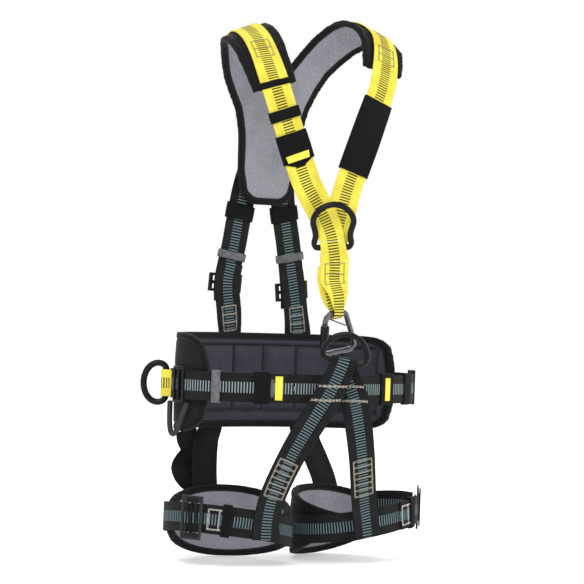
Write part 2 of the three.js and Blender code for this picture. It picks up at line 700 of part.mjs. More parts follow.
// ---------- rear webbing: belt to leg loop ----------
const REAR = {
  "-1": [
    [-95, -96],
    [-101, -135],
    [-104, -180],
    [-105, -232],
  ],
  1: [
    [96, -96],
    [108, -126],
    [121, -168],
    [128, -228],
  ],
};
const rearAngle = (side) => 180 - side * 24;
for (const [name, side] of SIDES) {
  const flat = waistFrame(rearAngle(side), 0).t;
  const [knee, middle, low, end] = REAR[side];
  const behindLeg = THIGH.y + THIGH.halfDepth + WEB_THICK + 1.6;
  const rear = path([
    at(waist(rearAngle(side), UNDER_BELT, -1), flat),
    at(waist(rearAngle(side), UNDER_BELT, -40), flat),
    at(waist(rearAngle(side), UNDER_BELT, -72), flat),
    at(V(knee[0], 112, knee[1]), BACKWARDS),
    at(V(middle[0], 104, middle[1]), BACKWARDS),
    at(V(low[0], behindLeg + 2.5, low[1]), BACKWARDS),
    at(V(end[0], behindLeg, end[1]), BACKWARDS),
  ]);
  webbing(`rear_webbing_${name}`, rear, 20, BLACK_WEB);
}
const looseTail = path([
  at(V(-130, 116, -80), BACKWARDS),
  at(V(-127, 119, -92), BACKWARDS),
  at(V(-116, 124, -110), BACKWARDS),
  at(V(-126, 130, -134), BACKWARDS),
  at(V(-134, 116, -152), BACKWARDS),
  at(V(-112, 113, -166), BACKWARDS),
]);
webbing("rear_tail_right", looseTail, 20, BLACK_WEB, 36);
const smallRing = add("rear_ring_right", new THREE.TorusGeometry(8, 1.3, 8, 20), STEEL);
smallRing.rotation.set(Math.PI / 2, 0, 0);
smallRing.position.set(-106, 122, -72);

// ---------- leg loops ----------
const BELLY_SHIFT = 0.76; // under 1 moves the pad's tallest part towards the outside of the leg
const legPadHeight = (t) =>
  2 * (lerp(LEG_PAD.outerEnd, LEG_PAD.frontEnd, t) + LEG_PAD.belly * Math.sin(Math.PI * t ** BELLY_SHIFT));
const LEG_PAD_ENDS_UP = 12;
const LEG_BUCKLE_OUT = 5.4;
for (const [name, side] of SIDES) {
  const padOut = -(WEB_THICK / 2 + 1.2 + LEG_PAD.thick / 2);
  const stations = Array.from({ length: 13 }, (_, i) => {
    const p = thigh(side, lerp(LEG_PAD.from, LEG_PAD.to, i / 12), padOut);
    p.z = LEG_PAD.centreZ + LEG_PAD_ENDS_UP * Math.abs(i / 6 - 1) ** 2.5;
    return at(p, V(0, 0, side));
  });
  add(`leg_pad_${name}`, bent(path(stations), 34, 2, legPadHeight, () => LEG_PAD.thick), PAD);

  const { buckle } = DRAPE[side];
  const BUCKLE_GAP = 6;
  const round = thighPath(side, buckle + BUCKLE_GAP, buckle + 360 - BUCKLE_GAP, () => 0);
  webbing(`leg_webbing_${name}`, round, 56, BLACK_WEB);
  const tailStart = buckle - 14;
  const tail = thighPath(side, tailStart, side < 0 ? 25 : tailStart - 36, () => LAYER + 0.4);
  webbing(`leg_tail_${name}`, tail, 8, BLACK_WEB);
  const full = thighPath(side, buckle, buckle - 80, () => 0.2);
  keeper(`leg_elastic_${name}`, full, 0.4, 14, ELASTIC, 2);
  const seatFrame = full(0);
  const frame = add(`leg_buckle_frame_${name}`, slideGeometry(68, 34, 3.4, 10), BLACK_METAL);
  seat(frame, seatFrame, LEG_BUCKLE_OUT);
  const plate = add(`leg_buckle_plate_${name}`, slideGeometry(60, 18, 2.6, 4.6), STEEL);
  seat(plate, seatFrame, LEG_BUCKLE_OUT + 3.6);
}

// ---------- origin: the flat face at the dorsal plate's lower end ----------
const FACE_DOWN = 27; // from the middle of the plate to the middle of that face
const part = new THREE.Group();
harness.position.set(0, -(DORSAL.y + PLATE.thick / 2), FACE_DOWN - DORSAL.z);
part.add(harness);
export default part;
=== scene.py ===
import json
import math

import bmesh
import bpy
import numpy as np
from mathutils import Matrix, Vector, noise
from mathutils.bvhtree import BVHTree
from mathutils.kdtree import KDTree


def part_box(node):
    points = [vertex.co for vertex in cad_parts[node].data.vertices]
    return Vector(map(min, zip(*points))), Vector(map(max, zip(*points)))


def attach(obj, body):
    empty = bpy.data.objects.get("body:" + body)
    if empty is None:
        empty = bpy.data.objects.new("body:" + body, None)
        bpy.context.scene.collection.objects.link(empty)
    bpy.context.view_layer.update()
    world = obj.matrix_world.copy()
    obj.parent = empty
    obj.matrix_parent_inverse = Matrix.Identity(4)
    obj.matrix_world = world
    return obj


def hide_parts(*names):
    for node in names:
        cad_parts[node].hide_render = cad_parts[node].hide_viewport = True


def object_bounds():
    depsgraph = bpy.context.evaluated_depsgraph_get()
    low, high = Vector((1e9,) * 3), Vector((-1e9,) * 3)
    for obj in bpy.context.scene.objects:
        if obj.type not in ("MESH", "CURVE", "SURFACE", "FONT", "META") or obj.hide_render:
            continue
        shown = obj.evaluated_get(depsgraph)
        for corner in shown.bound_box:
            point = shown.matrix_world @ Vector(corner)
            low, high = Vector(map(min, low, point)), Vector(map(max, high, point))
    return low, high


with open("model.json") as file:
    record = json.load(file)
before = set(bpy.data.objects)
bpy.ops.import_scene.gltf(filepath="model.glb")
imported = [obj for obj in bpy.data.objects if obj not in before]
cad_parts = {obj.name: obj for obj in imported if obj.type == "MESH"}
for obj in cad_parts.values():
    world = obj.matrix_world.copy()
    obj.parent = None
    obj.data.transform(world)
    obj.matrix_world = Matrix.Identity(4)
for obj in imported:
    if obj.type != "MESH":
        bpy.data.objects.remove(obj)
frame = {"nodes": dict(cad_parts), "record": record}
CAD_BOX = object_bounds()
bpy.context.scene.view_settings.view_transform = "Standard"
NODES = frame["nodes"]
ROOT = "webbing_and_pads"
BODY_OF = {n: b for b, members in frame["record"]["behaviour"]["bodies"].items() for n in members}
MM = 0.001
SIDES = ("right", "left")
WAIST = Vector((0, -0.121, -0.359))  # centre of the waist, at the belt webbing's mid height


# ---------- materials ----------
def rgb(r, g, b):
    """sRGB 0..255 to a linear colour."""
    parts = (r / 255, g / 255, b / 255)
    linear = [c / 12.92 if c <= 0.04045 else ((c + 0.055) / 1.055) ** 2.4 for c in parts]
    return (*linear, 1.0)


class Look:
    """A node material under construction."""

    def __init__(self, name, roughness=0.7, metallic=0.0):
        self.material = bpy.data.materials.new(name)
        self.material.use_nodes = True
        self.tree = self.material.node_tree
        self.shader = self.tree.nodes["Principled BSDF"]
        self.shader.inputs["Roughness"].default_value = roughness
        self.shader.inputs["Metallic"].default_value = metallic

    def put(self, socket, value):
        if isinstance(value, bpy.types.NodeSocket):
            self.tree.links.new(value, socket)
        elif value is not None:
            socket.default_value = value

    def node(self, kind, out=0, **inputs):
        n = self.tree.nodes.new(kind)
        for key, value in inputs.items():
            if hasattr(n, key):
                setattr(n, key, value)
            else:
                self.put(n.inputs[key.replace("_", " ")], value)
        return n.outputs[out]

    def math(self, operation, a, b=0.0, c=None):
        n = self.tree.nodes.new("ShaderNodeMath")
        n.operation = operation
        self.put(n.inputs[0], a)
        self.put(n.inputs[1], b)
        self.put(n.inputs[2], c)
        return n.outputs[0]

    def mix(self, share, a, b):
        n = self.tree.nodes.new("ShaderNodeMix")
        n.data_type = "RGBA"
        self.put(n.inputs[0], share)
        self.put(n.inputs[6], a)
        self.put(n.inputs[7], b)
        return n.outputs[2]

    def step(self, value, low, high):
        n = self.tree.nodes.new("ShaderNodeMapRange")
        n.interpolation_type = "SMOOTHSTEP"
        self.put(n.inputs[0], value)
        n.inputs[1].default_value = low
        n.inputs[2].default_value = high
        return n.outputs[0]

    def noise(self, scale, detail=3.0, vector=None, out=0):
        n = self.tree.nodes.new("ShaderNodeTexNoise")
        n.inputs["Scale"].default_value = scale
        n.inputs["Detail"].default_value = detail
        self.put(n.inputs["Vector"], vector or self.place())
        return n.outputs[out]

    def place(self):
        n = self.tree.nodes.new("ShaderNodeTexCoord")
        return n.outputs["Object"]

    def uv(self):
        """(across in mm, along in mm) of a ribbon."""
        n = self.tree.nodes.new("ShaderNodeUVMap")
        n.uv_map = "strap"
        s = self.tree.nodes.new("ShaderNodeSeparateXYZ")
        self.tree.links.new(n.outputs[0], s.inputs[0])
        return s.outputs[0], s.outputs[1]

    def value(self, name):
        n = self.tree.nodes.new("ShaderNodeAttribute")
        n.attribute_name = name
        return n.outputs["Fac"]

    def bump(self, height, distance, strength=1.0):
        n = self.tree.nodes.new("ShaderNodeBump")
        n.inputs["Strength"].default_value = strength
        n.inputs["Distance"].default_value = distance
        self.put(n.inputs["Height"], height)
        self.tree.links.new(n.outputs[0], self.shader.inputs["Normal"])

    def done(self, colour, roughness=None, sheen=0.0, gloss=0.5):
        self.put(self.shader.inputs["Base Color"], colour)
        self.shader.inputs["Specular IOR Level"].default_value = gloss
        self.put(self.shader.inputs["Roughness"], roughness)
        self.shader.inputs["Sheen Weight"].default_value = sheen
        self.shader.inputs["Sheen Roughness"].default_value = 0.5
        return self.material


def webbing_look(name, ground, shade, rung, pitch, rung_share, band):
    """Woven webbing: a ladder of rungs down a centre band, ribs across, denser edges."""
    k = Look(name, 0.78)
    u, v = k.uv()
    off = k.math("ABSOLUTE", u)
    in_band = k.math("SUBTRACT", 1.0, k.step(off, band / 2 - 0.5, band / 2 + 0.3))
    along = k.math("FRACT", k.math("DIVIDE", v, pitch))
    rise = k.step(along, 0.02, 0.12)
    fall = k.math("SUBTRACT", 1.0, k.step(along, rung_share, rung_share + 0.1))
    threads = k.math("FRACT", k.math("DIVIDE", u, 1.45))
    thread_gap = k.step(k.math("ABSOLUTE", k.math("SUBTRACT", threads, 0.5)), 0.3, 0.5)
    rungs = k.math("MULTIPLY", in_band, k.math("MULTIPLY", rise, fall))
    rungs = k.math("MULTIPLY", rungs, k.math("SUBTRACT", 1.0, k.math("MULTIPLY", thread_gap, 0.45)))
    mottle = k.noise(38.0, 4.0)
    fine = k.noise(900.0, 2.0)
    base = k.mix(k.step(mottle, 0.35, 0.7), ground, shade)
    base = k.mix(k.math("MULTIPLY", k.step(off, band / 2 + 0.2, band / 2 + 1.0), 0.12), base, shade)
    edge = k.step(off, 20.2, 21.6)
    base = k.mix(k.math("MULTIPLY", edge, 0.45), base, shade)
    base = k.mix(k.math("MULTIPLY", fine, 0.25), base, shade)
    colour = k.mix(rungs, base, rung)
    ribs = k.math("SINE", k.math("MULTIPLY", v, 2 * math.pi / 1.5))
    lean = k.math("MULTIPLY", v, 0.6)
    twill = k.math("SINE", k.math("MULTIPLY", k.math("ADD", u, lean), 2 * math.pi / 1.25))
    height = k.math("ADD", k.math("MULTIPLY", ribs, 0.45), k.math("MULTIPLY", twill, 0.35))
    height = k.math("ADD", height, k.math("MULTIPLY", rungs, 1.3))
    k.bump(height, 0.00028, 0.8)
    rough = k.math("ADD", 0.68, k.math("MULTIPLY", fine, 0.22))
    return k.done(colour, rough, 0.03, 0.2)


def elastic_look(name, dark, light, rib=1.1):
    """Elastic or woven tape: fine ribs and a slightly worn nap."""
    k = Look(name, 0.85)
    u, v = k.uv()
    ribs = k.math("SINE", k.math("MULTIPLY", v, 2 * math.pi / rib))
    cross = k.math("SINE", k.math("MULTIPLY", u, 2 * math.pi / 0.9))
    wear_and_edge_highlight = k.noise(120.0, 4.0)
    share = k.math("ADD", k.math("MULTIPLY", k.step(wear_and_edge_highlight, 0.3, 0.75), 0.5), k.math("MULTIPLY", ribs, 0.14))
    k.bump(k.math("ADD", ribs, k.math("MULTIPLY", cross, 0.4)), 0.0002, 0.8)
    return k.done(k.mix(share, dark, light), k.math("ADD", 0.75, k.math("MULTIPLY", wear_and_edge_highlight, 0.2)), 0.02, 0.15)


def pad_look(name, inner, inner_low, outer, outer_light, pore):
    """Padded panel: open mesh inside, plain cover outside, bound edges. Attributes: rim, inside, seam
    (painted shade along the sewn channels).
    """
    k = Look(name, 0.85)
    rim, inside, seam = k.value("rim"), k.value("inside"), k.value("seam")
    cells = k.node("ShaderNodeTexVoronoi", 0, Scale=pore, Vector=k.place())
    holes = k.step(cells, 0.25, 0.6)
    soft = k.noise(26.0, 4.0)
    grain = k.noise(700.0, 3.0)
    mesh_colour = k.mix(k.math("MULTIPLY", holes, 0.55), inner, inner_low)
    mesh_colour = k.mix(k.math("MULTIPLY", k.step(soft, 0.35, 0.75), 0.35), mesh_colour, inner_low)
    grainy = k.math("MULTIPLY", grain, 0.5)
    mottled = k.math("MULTIPLY", soft, 0.2)
    cover = k.mix(k.math("ADD", grainy, mottled), outer, outer_light)
    binding = k.math("SUBTRACT", 1.0, k.step(rim, 10.6, 11.6))
    tape = k.mix(k.math("MULTIPLY", grain, 0.6), rgb(6, 6, 7), rgb(17, 17, 19))
    colour = k.mix(inside, cover, mesh_colour)
    # Painted shade: near black along the sewn channels, read from the seam attribute.
    colour = k.mix(k.math("MULTIPLY", seam, 0.85), colour, rgb(8, 8, 9))
    colour = k.mix(binding, colour, tape)
    pits = k.math("MULTIPLY", k.math("MULTIPLY", holes, inside), -0.8)
    height = k.math("ADD", pits, k.math("MULTIPLY", grain, 0.5))
    k.bump(height, 0.0004, 0.8)
    return k.done(colour, k.math("ADD", 0.78, k.math("MULTIPLY", grain, 0.2)), 0.03, 0.2)


def coated_steel(name, low, high, roughness, edge_highlight):
    """Satin coated steel with a painted highlight: lighter on convex edges and corners; the roughness varies
    at random.
    """
    k = Look(name, roughness, 0.12)
    cloud = k.noise(60.0, 5.0)
    fine = k.noise(800.0, 3.0)
    geometry = k.tree.nodes.new("ShaderNodeNewGeometry")
    # Painted highlight: convex edges and corners are mixed towards a lighter colour.
    wear_and_edge_highlight = k.step(geometry.outputs["Pointiness"], 0.53, 0.62)
    colour = k.mix(cloud, low, high)
    colour = k.mix(k.math("MULTIPLY", wear_and_edge_highlight, 0.35), colour, edge_highlight)
    k.bump(fine, 0.00006, 0.5)
    return k.done(colour, k.math("ADD", roughness - 0.06, k.math("MULTIPLY", cloud, 0.16)), 0.0, 0.2)


def bare_steel(name, colour, roughness, stretch):
    """Polished or brushed steel with drawn scratches."""
    k = Look(name, roughness, 1.0)
    mapping = k.tree.nodes.new("ShaderNodeMapping")
    mapping.inputs["Scale"].default_value = stretch
    k.tree.links.new(k.place(), mapping.inputs[0])
    brush = k.noise(300.0, 4.0, mapping.outputs[0])
    smear = k.noise(45.0, 3.0)
    tint = k.mix(k.math("MULTIPLY", brush, 0.5), colour, rgb(60, 61, 64))
    k.bump(brush, 0.00004, 0.4)
    rough = k.math("ADD", roughness - 0.05, k.math("MULTIPLY", k.math("MULTIPLY", brush, smear), 0.35))
    return k.done(tint, rough)


def moulded(name, low, high, roughness):
    """Moulded plastic or rubber with a fine grain."""
    k = Look(name, roughness)
    grain = k.noise(1400.0, 2.0)
    cloud = k.noise(50.0, 3.0)
    k.bump(grain, 0.0001, 0.6)
    return k.done(k.mix(cloud, low, high), k.math("ADD", roughness - 0.08, k.math("MULTIPLY", cloud, 0.18)))


def thread_look(name, dark, light):
    k = Look(name, 0.6)
    strand = k.noise(1500.0, 2.0)
    cloud = k.noise(90.0, 2.0)
    k.bump(strand, 0.0001, 0.6)
    return k.done(k.mix(k.math("MULTIPLY", k.math("ADD", strand, cloud), 0.5), dark, light), None, 0.2)


YELLOW = webbing_look("yellow_webbing", rgb(226, 216, 82), rgb(206, 190, 62), rgb(22, 22, 16), 4.4, 0.52, 17)
BLACK = webbing_look("black_webbing", rgb(19, 19, 21), rgb(9, 9, 10), rgb(104, 128, 132), 4.6, 0.36, 17)
PLAIN = webbing_look("plain_webbing", rgb(19, 19, 21), rgb(9, 9, 10), rgb(26, 27, 29), 4.6, 0.36, 17)
BELT = webbing_look("belt_webbing", rgb(19, 19, 21), rgb(9, 9, 10), rgb(140, 156, 160), 4.6, 0.38, 17)
ELASTIC = elastic_look("black_elastic", rgb(6, 6, 7), rgb(16, 16, 18))
GREY_ELASTIC = elastic_look("grey_elastic", rgb(84, 84, 87), rgb(128, 128, 131), 1.4)
SLEEVE_CLOTH = elastic_look("sleeve_cloth", rgb(6, 6, 7), rgb(15, 15, 17), 0.8)
YOKE_LOOK = pad_look(
    "yoke_padding", rgb(150, 150, 158), rgb(106, 106, 115), rgb(8, 8, 9), rgb(22, 22, 24), 520
)
LUMBAR_LOOK = pad_look(
    "lumbar_padding", rgb(60, 61, 70), rgb(36, 37, 44), rgb(10, 10, 12), rgb(30, 30, 34), 560
)
# Painted highlight: the last colour of black_steel is painted on convex edges and corners.
BLACK_STEEL = coated_steel("black_steel", rgb(5, 5, 6), rgb(15, 15, 17), 0.3, rgb(60, 60, 64))
STEEL = bare_steel("polished_steel", rgb(100, 102, 106), 0.14, (1, 1, 0.15))
# Painted highlight: the last colour, near white, is painted on convex edges and corners.
DARK_STEEL = coated_steel("dark_steel_edge_highlight", rgb(20, 20, 22), rgb(40, 40, 44), 0.26, rgb(170, 170, 172))
BRUSHED = bare_steel("brushed_steel", rgb(120, 122, 126), 0.34, (0.2, 0.2, 1))
PLASTIC = moulded("black_plastic", rgb(10, 10, 11), rgb(24, 24, 26), 0.5)
RUBBER = moulded("black_rubber", rgb(9, 9, 10), rgb(26, 26, 28), 0.62)
LABEL_YELLOW = moulded("label_yellow", rgb(236, 222, 70), rgb(214, 194, 48), 0.6)
THREAD_TAN = thread_look("tan_thread", rgb(142, 132, 118), rgb(198, 188, 172))
THREAD_WHITE = thread_look("white_thread", rgb(180, 178, 172), rgb(226, 224, 220))
THREAD_GREY = thread_look("grey_brown_thread", rgb(96, 86, 62), rgb(150, 138, 100))
THREAD_BLACK = thread_look("black_thread", rgb(8, 8, 9), rgb(34, 34, 36))


# ---------- meshes ----------
def publish(name, verts, faces, material, body, stand_for=(), uv=None, smooth=True):
    """Makes an object from plain lists and hangs it on a body."""
    mesh = bpy.data.meshes.new(name)
    mesh.from_pydata([tuple(v) for v in verts], [], faces)
    if uv is not None:
        layer = mesh.uv_layers.new(name="strap")
        for loop in mesh.loops:
            layer.data[loop.index].uv = uv[loop.vertex_index]
    mesh.materials.append(material)
    if smooth:
        mesh.shade_smooth()
    mesh.update()
    o = bpy.data.objects.new(name, mesh)
    bpy.context.scene.collection.objects.link(o)
    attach(o, body)
    if stand_for:
        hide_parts(*stand_for)
    return o


def merged(node):
    """(points, triangles) of a CAD node with coincident vertices joined."""
    mesh = NODES[node].data
    mesh.calc_loop_triangles()
    index, points, remap = {}, [], []
    for v in mesh.vertices:
        key = tuple(round(c * 1e6) for c in v.co)
        if key not in index:
            index[key] = len(points)
            points.append(np.array(v.co, float))
        remap.append(index[key])
    triangles = [[remap[i] for i in t.vertices] for t in mesh.loop_triangles]
    return np.array(points), [t for t in triangles if len(set(t)) == 3]


class Strap:
    """A length of webbing read back from its CAD solid: its middle line, width direction and normal."""

    SPACING = 0.0035

    def __init__(self, node, outward=None, start_key=None):
        self.node = node
        points, triangles = merged(node)
        near = [set() for _ in points]
        for t in triangles:
            for i in range(3):
                near[t[i]].update(t)
        caps = []
        for t in triangles:
            edges = sorted(np.linalg.norm(points[t[i]] - points[t[i - 1]]) for i in range(3))
            if edges[0] < 0.003 and edges[1] > 0.028:
                caps.append(set(t))
        pairs = [a | b for i, a in enumerate(caps) for b in caps[i + 1 :] if len(a & b) == 2]
        start_key = start_key or (lambda p: p[2])
        first = max(pairs, key=lambda s: start_key(points[list(s)].mean(0)))
        rings, seen = [sorted(first)], set(first)
        while True:
            ahead = sorted(set().union(*(near[i] for i in rings[-1])) - seen)
            if not ahead:
                break
            seen.update(ahead)
            rings.append(ahead)
        rings = [points[r] for r in rings if len(r) == 4]
        centre = np.array([r.mean(0) for r in rings])
        width, normal = [], []
        for i, ring in enumerate(rings):
            other = min(range(1, 4), key=lambda j: np.linalg.norm(ring[j] - ring[0]))
            rest = [j for j in range(1, 4) if j != other]
            w = (ring[rest].mean(0) - ring[[0, other]].mean(0)) / 2
            run = centre[min(i + 1, len(rings) - 1)] - centre[max(i - 1, 0)]
            n = np.cross(run, w)
            n /= np.linalg.norm(n)
            if i == 0:
                out = outward(centre[0]) if outward else (centre[0] - np.array(WAIST)) * (1, 1, 0)
                if n @ out < 0:
                    n, w = -n, -w
            elif w @ width[-1] < 0:
                w, n = -w, -n
            if i and n @ normal[-1] < 0:
                n = -n
            width.append(w)
            normal.append(n)
        self.fit(centre, np.array(width))

    def fit(self, centre, width):
        gaps = np.linalg.norm(np.diff(centre, axis=0), axis=1)
        s = np.concatenate([[0], np.cumsum(gaps)])
        count = max(6, int(s[-1] / self.SPACING))
        new = np.linspace(0, s[-1], count)
        self.centre = self.smooth(s, centre, new)
        self.width = self.smooth(s, width, new)
        self.s = np.concatenate([[0], np.cumsum(np.linalg.norm(np.diff(self.centre, axis=0), axis=1))])
        run = np.gradient(self.centre, axis=0)
        run /= np.linalg.norm(run, axis=1)[:, None]
        n = np.cross(run, self.width)
        self.normal = n / np.linalg.norm(n, axis=1)[:, None]
        self.run = run
        self.length = self.s[-1]
        self.full = np.linalg.norm(self.width, axis=1).max()

    @staticmethod
    def smooth(s, values, new):
        """Catmull-Rom through values at s, sampled at new."""
        slope = np.gradient(values, s, axis=0)
        i = np.clip(np.searchsorted(s, new, side="right") - 1, 0, len(s) - 2)
        h = (s[i + 1] - s[i])[:, None]
        t = ((new - s[i])[:, None]) / h
        a, b, ma, mb = values[i], values[i + 1], slope[i] * h, slope[i + 1] * h
        return (
            (2 * t**3 - 3 * t**2 + 1) * a
            + (t**3 - 2 * t**2 + t) * ma
            + (-2 * t**3 + 3 * t**2) * b
            + (t**3 - t**2) * mb
        )

    def at(self, s, u=0.0, out=0.0):
        """Point at length s, u metres across and out metres along the normal from mid thickness."""
        c = np.array([np.interp(s, self.s, self.centre[:, k]) for k in range(3)])
        w = np.array([np.interp(s, self.s, self.width[:, k]) for k in range(3)])
        n = np.array([np.interp(s, self.s, self.normal[:, k]) for k in range(3)])
        return c + w / np.linalg.norm(w) * u + n * out

    def frame(self, s):
        w = np.array([np.interp(s, self.s, self.width[:, k]) for k in range(3)])
        n = np.array([np.interp(s, self.s, self.normal[:, k]) for k in range(3)])
        r = np.array([np.interp(s, self.s, self.run[:, k]) for k in range(3)])
        return w / np.linalg.norm(w), n, r

    def nearest(self, point):
        return self.s[np.argmin(np.linalg.norm(self.centre - np.array(point), axis=1))]

    def at_height(self, z, low=0.0, high=1.0):
        """Length at which the strap is nearest to a height above the waist, between two shares of it."""
        share = self.s / self.length
        allowed = (share >= low) & (share <= high)
        gap = np.where(allowed, abs(self.centre[:, 2] - WAIST.z - z), 9)
        return self.s[np.argmin(gap)]


THICK = 2.2 * MM
TOP = THICK / 2


def webbing_section():
    """Closed section of webbing: (share of half width, share of half thickness, in the centre band)."""
    half = [0.2, 0.37, 0.42, 0.6, 0.8, 0.94, 0.985, 1.0]
    across = [-x for x in reversed(half)] + [0] + half
    top = []
    for x in across:
        edge = 0.35 if abs(x) == 1 else 0.75 if abs(x) > 0.98 else 0.95 if abs(x) > 0.9 else 0.9
        top.append((x, 1.0 if abs(x) < 0.38 else edge))
    return top + [(x, -y) for x, y in reversed(top)]


def ribbon(strap, material, body=ROOT, wave=0.25 * MM, seed=0.0, suffix="web"):
    """The woven strap itself, with softly waving edges and pleats where it is gathered."""
    section = webbing_section()
    k = len(section)
    verts, uv, faces = [], [], []
    rows = len(strap.s)
    for i in range(rows):
        w = strap.width[i]
        half = np.linalg.norm(w)
        gathered = max(0.0, 1 - half / strap.full)
        s = strap.s[i]
        ripple = noise.noise(Vector((s * 28, seed, 0.3)))
        tilt = noise.noise(Vector((s * 19, seed, 7.1)))
        for x, y in section:
            bend = wave * (ripple * x * x * 1.2 + tilt * x * 0.8)
            fold = gathered * (1.6 * MM * (y > 0) + 0.7 * MM * math.cos(2.2 * math.pi * x + 0.5))
            verts.append(strap.centre[i] + w * x + strap.normal[i] * (y * TOP + bend + fold))
            uv.append((x * half * 1000, s * 1000))
    for i in range(rows - 1):
        for j in range(k):
            a, b = i * k + j, i * k + (j + 1) % k
            faces.append((a, a + k, b + k, b))
    faces.append(tuple(range(k)))
    faces.append(tuple(reversed(range((rows - 1) * k, rows * k))))
    o = publish(f"{strap.node}_{suffix}", verts, faces, material, body, [strap.node], uv)
    fix_normals(o)
    return o


def fix_normals(o):
    bm = bmesh.new()
    bm.from_mesh(o.data)
    bmesh.ops.recalc_face_normals(bm, faces=bm.faces)
    bm.to_mesh(o.data)
    bm.free()


def stitch_mesh(name, lines, material, body, length=2.3 * MM, gap=1.0 * MM, radius=0.42 * MM):
    """Rows of separate stitches. Each line is a list of (point, normal)."""
    verts, faces = [], []
    for line in lines:
        points = np.array([p for p, _ in line])
        normals = np.array([n for _, n in line])
        s = np.concatenate([[0], np.cumsum(np.linalg.norm(np.diff(points, axis=0), axis=1))])
        if s[-1] < length:
            continue
        count = max(1, round(s[-1] / (length + gap)))
        pitch = s[-1] / count
        for i in range(count):
            a, b = i * pitch + gap / 2, (i + 1) * pitch - gap / 2
            pa = np.array([np.interp(a, s, points[:, k]) for k in range(3)])
            pb = np.array([np.interp(b, s, points[:, k]) for k in range(3)])
            n = np.array([np.interp((a + b) / 2, s, normals[:, k]) for k in range(3)])
            run = pb - pa
            side = np.cross(run, n)
            side /= np.linalg.norm(side)
            base = len(verts)
            for t, size, lift in ((0, 0.5, -0.5), (0.22, 1.0, 0.35), (0.78, 1.0, 0.35), (1, 0.5, -0.5)):
                c = pa + run * t + n * radius * lift
                for q in range(6):
                    angle = math.pi / 3 * q
                    verts.append(c + radius * size * (side * math.cos(angle) + n * math.sin(angle) * 0.8))
            for r in range(3):
                for q in range(6):
                    v, w = base + r * 6 + q, base + r * 6 + (q + 1) % 6
                    faces.append((v, w, w + 6, v + 6))
            faces.append(tuple(base + q for q in reversed(range(6))))
            faces.append(tuple(base + 18 + q for q in range(6)))
    if not verts:
        return None
    o = publish(name, verts, faces, material, body)
    fix_normals(o)
    return o


def on_strap(strap, marks, lift=0.1 * MM, side=1):
    """A polyline over a strap's face through (s, u) marks, as (point, normal) pairs."""
    line = []
    for (s0, u0), (s1, u1) in zip(marks, marks[1:]):
        steps = max(1, int(math.hypot(s1 - s0, u1 - u0) / (2.5 * MM)))
        for k in range(steps):
            t = k / steps
            line.append((s0 + (s1 - s0) * t, u0 + (u1 - u0) * t))
    line.append(marks[-1])
    return [(strap.at(s, u, side * (TOP + lift)), strap.frame(s)[1] * side) for s, u in line]


def ladder_stitch(strap, s0, s1, half, rows, side=1):
    """A sewn box whose rows and sides are doubled."""
    rails = (-half, 1.4 * MM - half, half - 1.4 * MM, half)
    lines = [on_strap(strap, [(s0, u), (s1, u)], side=side) for u in rails]
    for r in range(rows):
        s = s0 + (s1 - s0) * r / (rows - 1)
        for off in (-0.8 * MM, 0.8 * MM):
            lines.append(on_strap(strap, [(s + off, -half), (s + off, half)], side=side))
    return lines


def bar_tack(strap, s, half, thick=3 * MM, side=1):
    """A dense zigzag from edge to edge, level however the strap leans."""
    w_dir, _, run = strap.frame(s)
    slope = -w_dir[2] / run[2]
    marks, steps = [], max(4, int(2 * half / (1.1 * MM)))
    for i in range(steps + 1):
        u = 2 * half * i / steps - half
        marks.append((s + slope * u + (thick / 2 if i % 2 else -thick / 2), u))
    return [on_strap(strap, marks, side=side)]


def patch(name, strap, s0, s1, half, out, thick, material, body=ROOT, taper=1.0):
    """A thin tape or label lying over a strap, with rounded edges."""
    rows, cols = max(3, int((s1 - s0) / (2.5 * MM))), 10
    verts, faces, uv = [], [], []
    for i in range(rows + 1):
        t = i / rows
        s = s0 + (s1 - s0) * t
        w = half * (1 + (taper - 1) * t)
        w_dir, n, _ = strap.frame(s)
        ends = min(1.0, min(t, 1 - t) * rows + 0.55)
        for side in (1, -1):
            for j in range(cols + 1):
                x = (2 * j / cols - 1) * side
                crown = 0.5 * thick * ends * (1 - abs(x) ** 8 * 0.6)
                base = strap.at(s, 0.0, out)
                verts.append(base + w_dir * x * w + n * crown * side)
                uv.append((x * w * 1000, s * 1000))
    k = 2 * (cols + 1)
    for i in range(rows):
        for j in range(k):
            a, b = i * k + j, i * k + (j + 1) % k
            faces.append((a, a + k, b + k, b))
    faces.append(tuple(range(k)))
    faces.append(tuple(reversed(range(rows * k, (rows + 1) * k))))
    o = publish(name, verts, faces, material, body, uv=uv)
    fix_normals(o)
    return o


